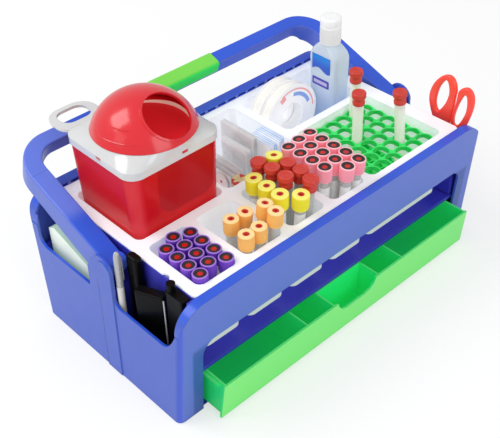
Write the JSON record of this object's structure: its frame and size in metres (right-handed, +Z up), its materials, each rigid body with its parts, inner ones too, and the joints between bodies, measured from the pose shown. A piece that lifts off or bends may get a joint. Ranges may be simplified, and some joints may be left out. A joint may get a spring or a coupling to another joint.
{
  "type": "phlebotomy tray",
  "caption": "Open carrying tray for blood collection supplies, with a folding bail handle, lift-out insert, drawer, end pockets, tube rack, sharps container and tubes.",
  "frame": {"origin": "on the table under the middle of the case body", "axes": "+X right along the length seen from the drawer side, +Y from the drawer to the back, +Z up"},
  "size_m": [0.458, 0.295, 0.2764],
  "materials": {
    "blue_plastic": "glossy moulded blue, paler on the side walls",
    "dark_blue_plastic": "satin dark blue",
    "rubber_feet": "matte",
    "runner_plastic": "satin",
    "drawer_green": "glossy moulded green",
    "grip_rubber": "soft satin green grip",
    "steel": "satin steel",
    "white_insert": "glossy white moulding",
    "red_container": "translucent glossy red",
    "white_lid": "translucent white, glossy",
    "red_dome": "glossy red",
    "rack_green": "glossy moulded green",
    "purple_cap": "ribbed satin purple",
    "black_rubber": "matte black",
    "red_rubber": "matte brick red",
    "orange_cap": "ribbed satin orange",
    "yellow_cap": "ribbed satin yellow",
    "mottled_rubber": "marbled red and grey",
    "pink_cap": "ribbed satin pink",
    "tube_glass": "clear",
    "gel": "clear bluish gel in a clear bottle",
    "label_blue": "plain printed film",
    "white_plastic": "glossy white",
    "tape_white": "white surgical tape on a white spool",
    "paper_stripe": "paper and film wrapper with pale blue stripes",
    "foil_grey": "grey foil paper",
    "pouch_clear": "clear film over white gauze",
    "bandage_beige": "round adhesive spot",
    "packet_green": "pale green paper film",
    "pen_cream": "glossy cream",
    "pen_silver": "bright metal",
    "black_plastic": "glossy black",
    "screen_grey": "smooth grey display",
    "scissor_red": "glossy coral red"
  },
  "bodies": {
    "case": {"case_shell": "blue_plastic", "pocket_liners": "dark_blue_plastic", "base_plate": "dark_blue_plastic", "foot_pads": "rubber_feet", "storage_shelf": "dark_blue_plastic", "drawer_guides": "runner_plastic", "pivot_pins": "steel"},
    "handle": {"handle_bail": "blue_plastic", "grip_sleeve": "grip_rubber"},
    "drawer": {"drawer_tray": "drawer_green"},
    "insert": {"insert_rim": "white_insert", "insert_wells": "white_insert"},
    "sharps_container": {"sharps_body": "red_container", "sharps_lid": "white_lid", "carry_loop": "white_lid", "sharps_shutter": "red_dome"},
    "dome_cap": {"sharps_dome": "red_dome"},
    "tube_rack": {"rack_upper_lattice": "rack_green", "rack_lower_lattice": "rack_green", "rack_posts": "rack_green"},
    "racked_tubes": {"rack_stoppers": "red_rubber", "rack_tubes": "tube_glass"},
    "purple_set": {"purple_caps": "purple_cap", "purple_stoppers": "black_rubber", "purple_centres": "red_rubber", "purple_tubes": "tube_glass"},
    "orange_set": {"orange_caps": "orange_cap", "orange_centres": "red_rubber", "orange_tubes": "tube_glass"},
    "middle_set": {"yellow_caps": "yellow_cap", "yellow_centres": "red_rubber", "red_stoppers": "red_rubber", "middle_well_tubes": "tube_glass"},
    "mottled_set": {"mottled_stopper": "mottled_rubber", "mottled_tube": "tube_glass"},
    "pink_set": {"pink_caps": "pink_cap", "pink_stoppers": "black_rubber", "pink_centres": "red_rubber", "pink_tubes": "tube_glass"},
    "gel_bottle": {"bottle_body": "gel", "bottle_label": "label_blue", "bottle_cap": "white_plastic"},
    "bottle_lid": {"bottle_flip_lid": "white_plastic"},
    "front_tape": {"tape_spool_front": "tape_white"},
    "rear_tape": {"tape_spool_rear": "tape_white"},
    "wrapper_stack": {"striped_wrappers": "paper_stripe"},
    "grey_stack": {"grey_packets": "foil_grey"},
    "pouch_stack": {"clear_pouches": "pouch_clear", "spot_bandage": "bandage_beige"},
    "green_sachet": {"green_packet": "packet_green"},
    "pen": {"pen_barrel": "pen_cream", "pen_clip": "pen_silver"},
    "marker": {"pocket_marker": "black_plastic"},
    "device_pair": {"pocket_devices": "black_plastic", "device_face": "screen_grey"},
    "scissors": {"scissor_handle_b": "scissor_red", "scissor_blade_b": "steel", "scissor_rivet": "steel"},
    "scissors_half": {"scissor_handle_a": "scissor_red", "scissor_blade_a": "steel"}
  },
  "joints": [
    {"name": "handle_swing", "type": "hinge", "parent": "case", "child": "handle", "pos_m": [0, -0.01, 0.137], "axis": [1, 0, 0], "range_deg": [0, 70], "deforming": ["carry_loop"]},
    {"name": "drawer_slide", "type": "slide", "parent": "case", "child": "drawer", "axis": [0, -1, 0], "range_m": [-0.024, 0.14]},
    {"name": "insert_lift", "type": "slide", "parent": "case", "child": "insert", "axis": [0, 0, 1], "range_m": [0, 0.25]},
    {"name": "sharps_lift", "type": "slide", "parent": "insert", "child": "sharps_container", "axis": [0, 0, 1], "range_m": [0, 0.14]},
    {"name": "dome_turn", "type": "hinge", "parent": "sharps_container", "child": "dome_cap", "pos_m": [-0.1265, 0.035, 0.239], "axis": [0, 0, 1], "range_deg": [0, 180]},
    {"name": "rack_lift", "type": "slide", "parent": "insert", "child": "tube_rack", "axis": [0, 0, 1], "range_m": [0, 0.14]},
    {"name": "racked_tubes_lift", "type": "slide", "parent": "tube_rack", "child": "racked_tubes", "axis": [0, 0, 1], "range_m": [0, 0.14]},
    {"name": "purple_lift", "type": "slide", "parent": "insert", "child": "purple_set", "axis": [0, 0, 1], "range_m": [0, 0.1]},
    {"name": "orange_lift", "type": "slide", "parent": "insert", "child": "orange_set", "axis": [0, 0, 1], "range_m": [0, 0.1]},
    {"name": "middle_lift", "type": "slide", "parent": "insert", "child": "middle_set", "axis": [0, 0, 1], "range_m": [0, 0.1]},
    {"name": "mottled_lift", "type": "slide", "parent": "insert", "child": "mottled_set", "axis": [0, 0, 1], "range_m": [0, 0.08]},
    {"name": "pink_lift", "type": "slide", "parent": "insert", "child": "pink_set", "axis": [0, 0, 1], "range_m": [0, 0.1]},
    {"name": "bottle_lift", "type": "slide", "parent": "insert", "child": "gel_bottle", "axis": [0, 0, 1], "range_m": [0, 0.14]},
    {"name": "flip_lid_open", "type": "hinge", "parent": "gel_bottle", "child": "bottle_lid", "pos_m": [0.1598, 0.0642, 0.235], "axis": [-1, 0, 0], "range_deg": [0, 110]},
    {"name": "front_tape_lift", "type": "slide", "parent": "insert", "child": "front_tape", "axis": [0, 0, 1], "range_m": [0, 0.12]},
    {"name": "rear_tape_lift", "type": "slide", "parent": "insert", "child": "rear_tape", "axis": [0, 0, 1], "range_m": [0, 0.12]},
    {"name": "wrappers_lift", "type": "slide", "parent": "insert", "child": "wrapper_stack", "axis": [0, 0, 1], "range_m": [0, 0.09]},
    {"name": "grey_packets_lift", "type": "slide", "parent": "insert", "child": "grey_stack", "axis": [0, 0, 1], "range_m": [0, 0.09]},
    {"name": "pouches_lift", "type": "slide", "parent": "insert", "child": "pouch_stack", "axis": [0, 0, 1], "range_m": [0, 0.09]},
    {"name": "green_packet_lift", "type": "slide", "parent": "case", "child": "green_sachet", "axis": [0, 0, 1], "range_m": [0, 0.018]},
    {"name": "pen_lift", "type": "slide", "parent": "case", "child": "pen", "axis": [0, 0, 1], "range_m": [0, 0.12]},
    {"name": "marker_lift", "type": "slide", "parent": "case", "child": "marker", "axis": [0, 0, 1], "range_m": [0, 0.12]},
    {"name": "devices_lift", "type": "slide", "parent": "case", "child": "device_pair", "axis": [0, 0, 1], "range_m": [0, 0.12]},
    {"name": "scissors_lift", "type": "slide", "parent": "case", "child": "scissors", "axis": [0, 0, 1], "range_m": [0, 0.14]},
    {"name": "scissors_open", "type": "hinge", "parent": "scissors", "child": "scissors_half", "pos_m": [0.211, -0.086, 0.117], "axis": [-1, 0, 0], "range_deg": [0, 12]}
  ]
}
